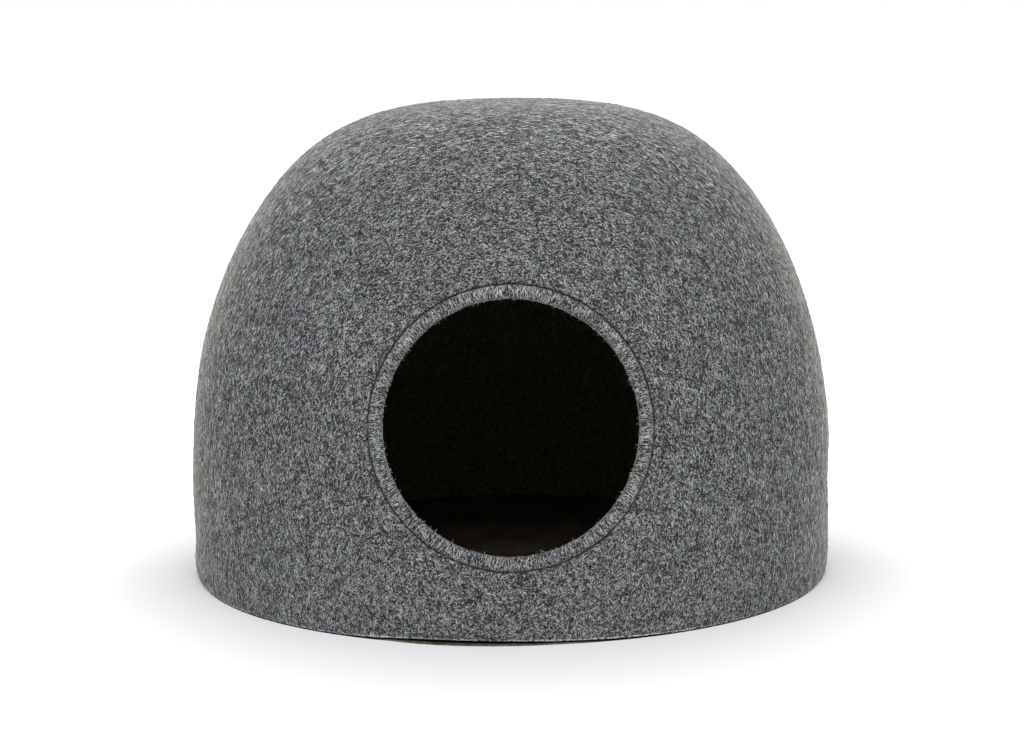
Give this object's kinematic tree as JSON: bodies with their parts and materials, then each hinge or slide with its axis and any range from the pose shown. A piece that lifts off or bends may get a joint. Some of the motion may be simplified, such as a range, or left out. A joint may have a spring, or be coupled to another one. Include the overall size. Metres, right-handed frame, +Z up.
{
  "type": "felt cat cave",
  "caption": "Domed pet cave of moulded grey felt with a round rimmed entrance at the front, standing round a flat dark base board.",
  "frame": {"origin": "middle of the footprint, on the surface that the cave stands on", "axes": "+Z up; the entrance faces -Y; +X is to the right of someone who looks into the entrance"},
  "size_m": [0.5582, 0.5595, 0.4134],
  "materials": {
    "dome_felt": "stiff moulded wool felt in a grey melange, light and dark fibres matted together, matt with a soft fuzz",
    "rim_felt": "the same grey felt, stretched round the rim so that its fibres run across it",
    "brown_board": "dark brown pressed felt board, matt"
  },
  "bodies": {
    "root": {"felt_dome": "dome_felt", "entrance_ring": "rim_felt", "base_board": "brown_board"}
  },
  "joints": []
}
